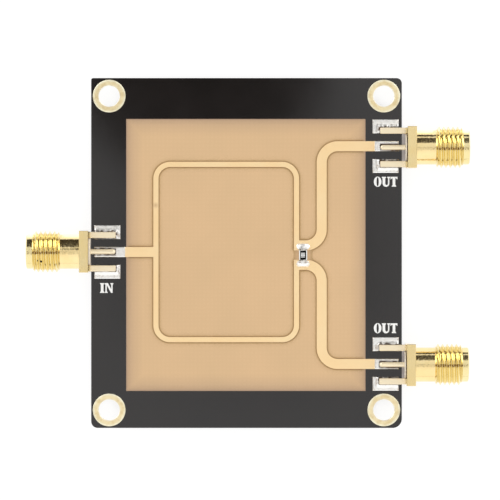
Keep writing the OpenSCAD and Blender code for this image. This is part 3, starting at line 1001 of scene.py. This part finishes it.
# Studio
# A white floor under the part in a white tent, soft lamps in front and at both sides, and a camera that looks
# straight down. Cards that only reflections show stand for the tent's dark opening and seams, the bars above,
# the lens and its hood, the lamps, and the pale floor beside two of the jacks.
scene = bpy.context.scene
scene.view_settings.view_transform = "Standard"
view_px = 500
px_per_mm = 6.54
camera_h = 600 * mm
camera_near = 10 * mm
sensor = 36.0
aim = (0.535 * mm, 0.459 * mm)
trace_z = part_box("microstrip")[1].z
floor_z = cad_box[0].z - 0.05 * mm
floor_size = (6, 6)
floor_share = 0.75
floor_glow = 1.15
floor_mirror = 1.25
nook_reach = 6 * mm
nook_rays = 16
zenith_from = 0.75
zenith_to = 0.97
zenith_tone = 0.9
strip_z = cad_box[0].z + 0.5 * mm
beside_z = cad_box[0].z + 0.2 * mm
beside_y = 8.5 * mm
beside_size = (2.8 * mm, 9 * mm)
beside_neck = 2.8 * mm
beside_nose = 9.9 * mm
lens_r = 34 * mm
lens_z = camera_h + 20 * mm
hood_r = 25 * mm
hood_at = (-9.4 * mm, 38.3 * mm, 120 * mm)
flat = (0, 0, 0)
upright = (math.radians(90), 0, 0)
sideways = (math.radians(90), 0, math.radians(90))
glow_lean = math.radians(66)
glow_turn = math.radians(54)
glow_power = 2.5
pale_power = 1.1


def seen_rays(finish):
    """1 for rays from the camera, a mirror or a clear piece, and 0 for the light that falls on surfaces."""
    path = finish.node_tree.nodes.new("ShaderNodeLightPath")
    seen = path.outputs["Is Camera Ray"]
    for other in ("Is Glossy Ray", "Is Transmission Ray"):
        seen = reckon(finish, "MAXIMUM", seen, path.outputs[other])
    return seen


def stage_plane(name, location, turn, size):
    """A flat card that isn't part of the object."""
    bpy.ops.object.select_all(action="DESELECT")
    bpy.ops.mesh.primitive_plane_add(size=1, location=location, rotation=turn)
    card = bpy.context.object
    card.name = name
    card.scale = (*size, 1)
    return card


def softbox(name, location, size, radiance):
    """A rectangular lamp that faces the part, and how bright its face is."""
    lamp = bpy.data.lights.new(name, "AREA")
    lamp.shape = "RECTANGLE"
    lamp.size, lamp.size_y = size
    lamp.energy = radiance * math.pi * size[0] * size[1]
    box = bpy.data.objects.new(name, lamp)
    box.location = location
    box.rotation_euler = (-box.location).to_track_quat("-Z", "Y").to_euler()
    box.visible_camera = False
    bpy.context.collection.objects.link(box)


floor_white, _ = new_finish("floor_white", {"Base Color": (0.8, 0.8, 0.8, 1), "Roughness": 0.9})
shader = floor_white.node_tree.nodes["Principled BSDF"].outputs["BSDF"]
# Painted shade: the floor's glow is darkened in the narrow nooks under the part, such as the gaps behind the
# flanges.
nook = add(floor_white, "AmbientOcclusion", {"Distance": nook_reach}, "AO", samples=nook_rays)
painted_nook_shade = ramp(floor_white, nook, (0.1, (0.28, 0.24, 0.22, 1)), (0.28, white))
mirror_ray = floor_white.node_tree.nodes.new("ShaderNodeLightPath").outputs["Is Glossy Ray"]
strength = spread(floor_white, mirror_ray, floor_glow, floor_mirror)
glow = add(floor_white, "Emission", {"Color": painted_nook_shade, "Strength": strength}, "Emission")
share = reckon(floor_white, "MULTIPLY", seen_rays(floor_white), floor_share)
mixed = floor_white.node_tree.nodes.new("ShaderNodeMixShader")
plug(floor_white, mixed, {0: share, 1: shader, 2: glow})
plug(floor_white, floor_white.node_tree.nodes["Material Output"], {"Surface": mixed.outputs["Shader"]})
floor = stage_plane("floor", (0, 0, floor_z), flat, floor_size)
give(floor_white, floor)

tent = bpy.data.worlds.new("tent")
scene.world = tent
tent.use_nodes = True
toward = tent.node_tree.nodes.new("ShaderNodeTexCoord").outputs["Generated"]
up = add(tent, "SeparateXYZ", {"Vector": toward}, "Z")
tone = fade(tent, up, zenith_from, zenith_to, 1.0, zenith_tone)
seen = tent.node_tree.nodes.new("ShaderNodeLightPath").outputs["Is Camera Ray"]
strength = reckon(tent, "MAXIMUM", tone, seen)
plug(tent, tent.node_tree.nodes["Background"], {"Color": white, "Strength": strength})
softbox("front", (0, -0.3, 0.26), (0.9, 0.5), 0.12)
softbox("left", (-0.4, 0.29, 0.14), (0.35, 0.26), 0.6)
softbox("right", (0.4, 0.29, 0.14), (0.35, 0.26), 0.6)


def mirrored(finish, card):
    """Lets a card show only in mirrors: it takes and gives no light, and no camera sees it."""
    for rays in ("camera", "diffuse", "transmission", "shadow"):
        setattr(card, "visible_" + rays, False)
    give(finish, card)


def mirrored_plane(finish, *card):
    """A flat card that only mirrors show."""
    mirrored(finish, stage_plane(*card))


black_card, _ = new_finish("black_card", {"Base Color": (0.035, 0.028, 0.02, 1), "Roughness": 1.0})
brown_card, _ = new_finish("brown_card", {"Base Color": (0.2, 0.1, 0.03, 1), "Roughness": 1.0})
bright_card, _ = new_finish("bright_card", {"Emission Color": white, "Emission Strength": glow_power})
pale_card, _ = new_finish("pale_card", {"Emission Color": white, "Emission Strength": pale_power})
mirrored_plane(black_card, "opening", (0, 0.5, 0.54), upright, (0.24, 0.66))
mirrored_plane(black_card, "seam", (0, 0.5, 0.06), upright, (2.0, 0.12))
mirrored_plane(black_card, "strip", (0, 0.3, strip_z), flat, (2.0, 0.42))
for side in (-1, 1):
    turned_in = (glow_lean, 0, -glow_turn * side)
    mirrored_plane(black_card, "seam_%d" % side, (0.5 * side, 0.3, 0.04), sideways, (0.8, 0.08))
    mirrored_plane(brown_card, "bar_%d" % side, (0.59 * side, -0.075, 0.5), flat, (1.02, 0.17))
    mirrored_plane(bright_card, "glow_%d" % side, (0.42 * side, 0.31, 0.23), turned_in, (0.5, 0.44))
mirrored_plane(black_card, "near_input", (-0.03, 0.1, 0.025), upright, (0.05, 0.05))
for port in ("input", "output_1"):
    outward, back = axis_of(port)
    for name, along in (("_neck", beside_neck), ("_nose", beside_nose)):
        beside = (back.x + outward * along, back.y + beside_y, beside_z)
        mirrored_plane(pale_card, port + name, beside, flat, beside_size)
for name, radius, location in (("hood", hood_r, hood_at), ("lens", lens_r, (*aim, lens_z))):
    bpy.ops.object.select_all(action="DESELECT")
    bpy.ops.mesh.primitive_circle_add(radius=radius, fill_type="NGON", location=location)
    disc = bpy.context.object
    disc.name = name
    mirrored(black_card, disc)

camera = bpy.data.objects.new("camera", bpy.data.cameras.new("camera"))
bpy.context.collection.objects.link(camera)
camera.location = (*aim, camera_h + trace_z)
camera.data.sensor_width = sensor
camera.data.lens = sensor * camera_h / (view_px / px_per_mm * mm)
camera.data.clip_start = camera_near
scene.camera = camera
